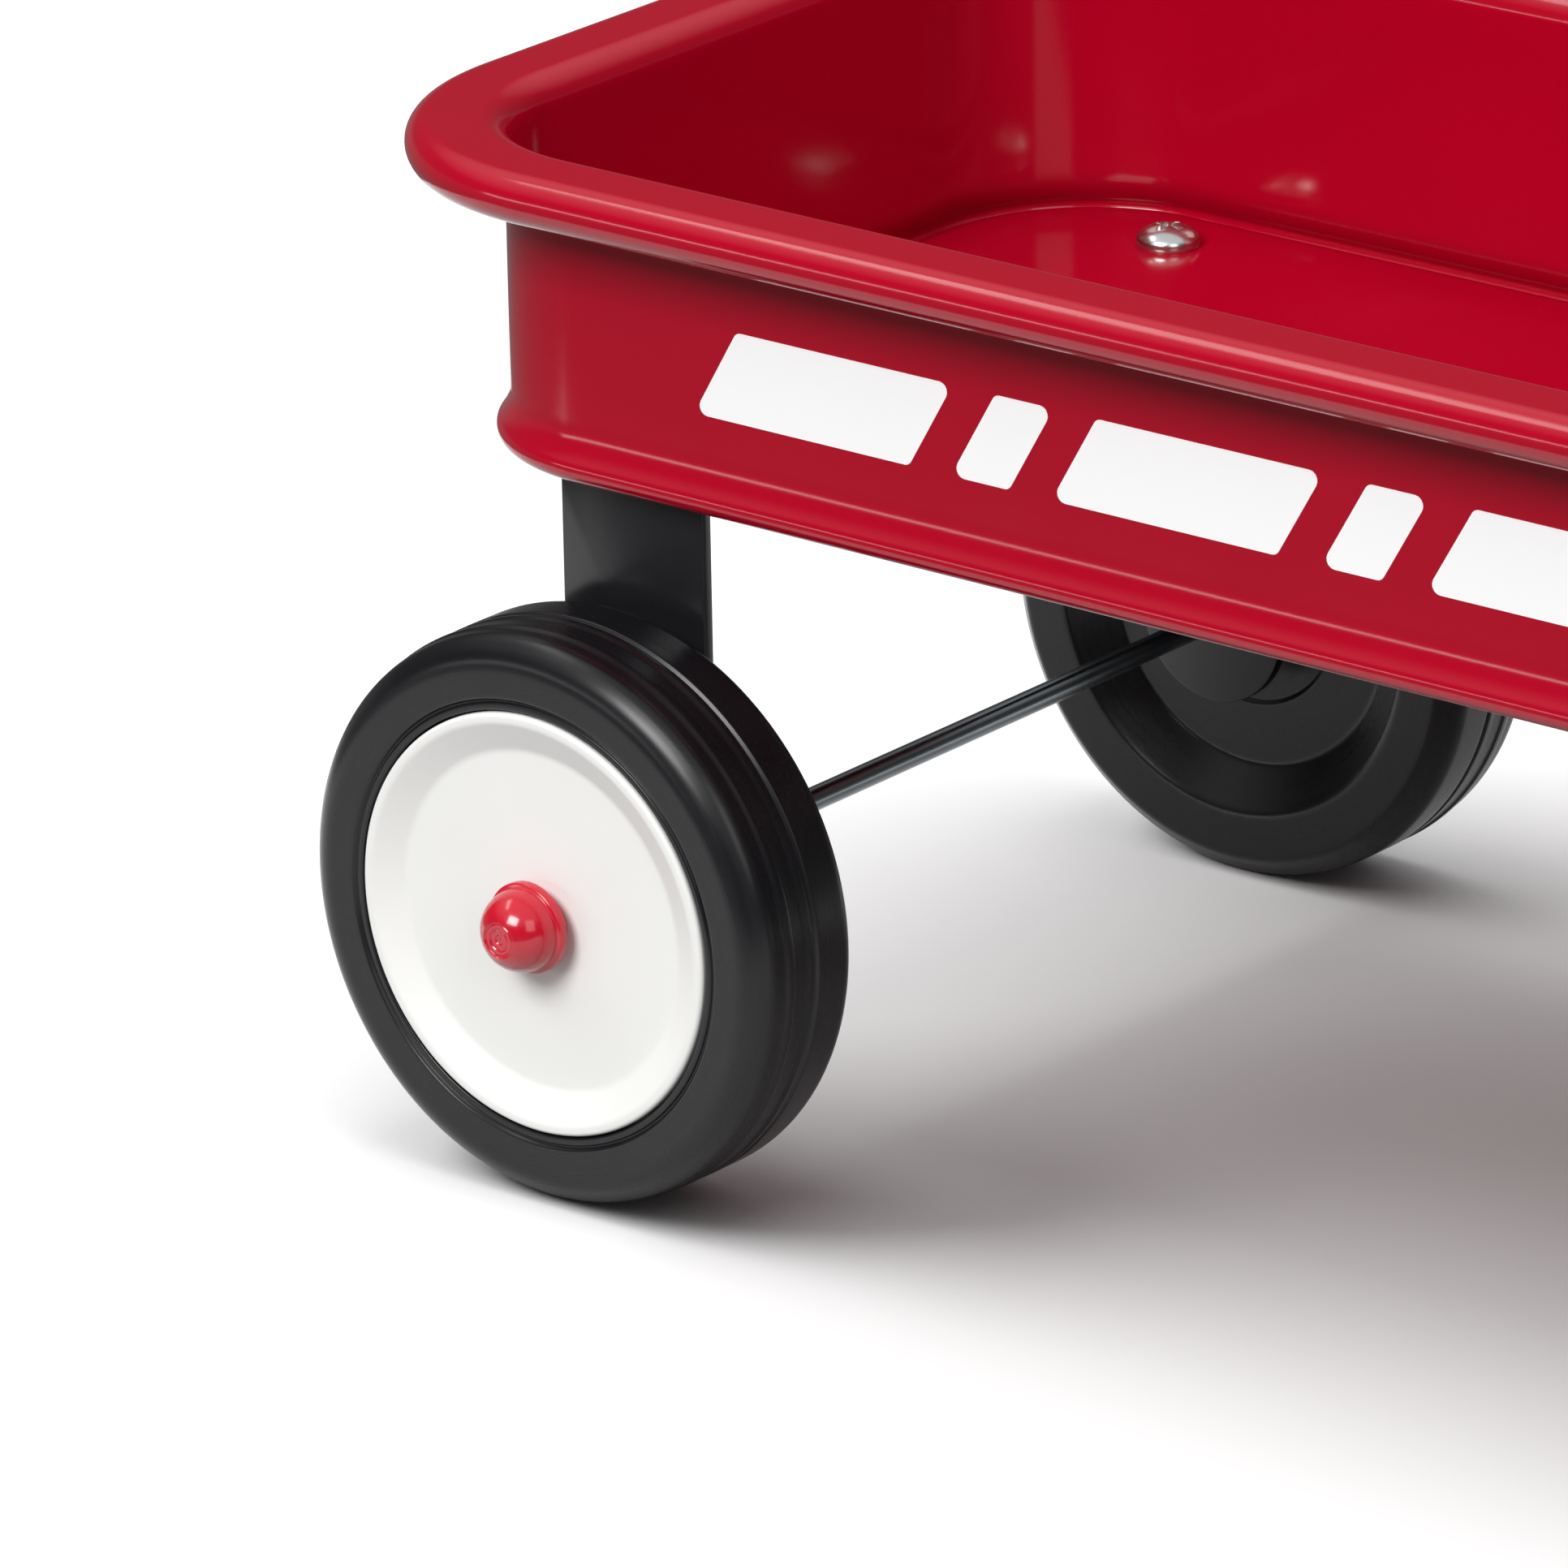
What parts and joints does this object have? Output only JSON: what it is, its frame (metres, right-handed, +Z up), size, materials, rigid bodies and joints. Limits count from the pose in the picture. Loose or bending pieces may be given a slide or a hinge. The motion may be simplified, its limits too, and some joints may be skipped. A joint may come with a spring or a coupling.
{
  "type": "wagon with pull handle",
  "caption": "Doll-size pressed steel wagon with a rolled-rim tray, strap axle brackets, disc wheels, a steering front axle and a hinged pull handle.",
  "frame": {"origin": "on the ground under the middle of the whole length, with the handle lying forwards", "axes": "+X forwards towards the handle, +Y to the wagon's left, +Z up"},
  "size_m": [0.5788, 0.1774, 0.1333],
  "materials": {
    "red_enamel": "glossy baked red enamel",
    "white_enamel": "satin white enamel",
    "black_enamel": "satin black enamel",
    "black_wheel": "semi-matt moulded black, slightly rubbery",
    "black_plastic": "satin moulded black",
    "red_plastic": "glossy moulded red",
    "natural_nylon": "natural nylon",
    "zinc_steel": "bright zinc plate",
    "axle_steel": "oiled drawn steel"
  },
  "bodies": {
    "chassis": {"tray": "red_enamel", "rear_axle_bracket": "black_enamel", "rear_screw_left": "zinc_steel", "rear_screw_right": "zinc_steel", "rear_nut_left": "zinc_steel", "rear_nut_right": "zinc_steel", "rear_axle": "axle_steel", "rear_left_axle_cap": "red_plastic", "rear_right_axle_cap": "red_plastic", "rear_left_axle_washer": "zinc_steel", "rear_right_axle_washer": "zinc_steel", "pivot_plate": "black_enamel", "pivot_screw_front": "zinc_steel", "pivot_screw_rear": "zinc_steel", "pivot_nut_front": "zinc_steel", "pivot_nut_rear": "zinc_steel", "kingpin": "zinc_steel", "kingpin_bearing": "natural_nylon", "kingpin_nut": "zinc_steel"},
    "steering": {"front_axle_bracket": "black_enamel", "tongue_bracket": "black_enamel", "tongue_rivet_front": "black_enamel", "tongue_rivet_rear": "black_enamel", "front_axle": "axle_steel", "front_left_axle_cap": "red_plastic", "front_right_axle_cap": "red_plastic", "front_left_axle_washer": "zinc_steel", "front_right_axle_washer": "zinc_steel", "handle_pin": "zinc_steel", "handle_pin_clip": "zinc_steel"},
    "handle": {"handle_shaft": "black_enamel", "handle_grip": "black_plastic", "handle_grip_rivet": "zinc_steel"},
    "rear_left_wheel": {"rear_left_wheel": "black_wheel", "rear_left_wheel_disc": "white_enamel"},
    "rear_right_wheel": {"rear_right_wheel": "black_wheel", "rear_right_wheel_disc": "white_enamel"},
    "front_left_wheel": {"front_left_wheel": "black_wheel", "front_left_wheel_disc": "white_enamel"},
    "front_right_wheel": {"front_right_wheel": "black_wheel", "front_right_wheel_disc": "white_enamel"}
  },
  "joints": [
    {"name": "steering_pivot", "type": "hinge", "parent": "chassis", "child": "steering", "pos_m": [-0.01095, 0, 0.0806], "axis": [0, 0, 1], "range_deg": [-45, 45]},
    {"name": "handle_hinge", "type": "hinge", "parent": "steering", "child": "handle", "pos_m": [0.04905, 0, 0.07152], "axis": [0, -1, 0], "range_deg": [0, 90]},
    {"name": "rear_left_wheel_spin", "type": "hinge", "parent": "chassis", "child": "rear_left_wheel", "pos_m": [-0.24695, 0.0724, 0.03782], "axis": [0, 1, 0], "continuous": true},
    {"name": "rear_right_wheel_spin", "type": "hinge", "parent": "chassis", "child": "rear_right_wheel", "pos_m": [-0.24695, -0.0724, 0.03782], "axis": [0, 1, 0], "continuous": true},
    {"name": "front_left_wheel_spin", "type": "hinge", "parent": "steering", "child": "front_left_wheel", "pos_m": [-0.01095, 0.0724, 0.03782], "axis": [0, 1, 0], "continuous": true},
    {"name": "front_right_wheel_spin", "type": "hinge", "parent": "steering", "child": "front_right_wheel", "pos_m": [-0.01095, -0.0724, 0.03782], "axis": [0, 1, 0], "continuous": true}
  ]
}
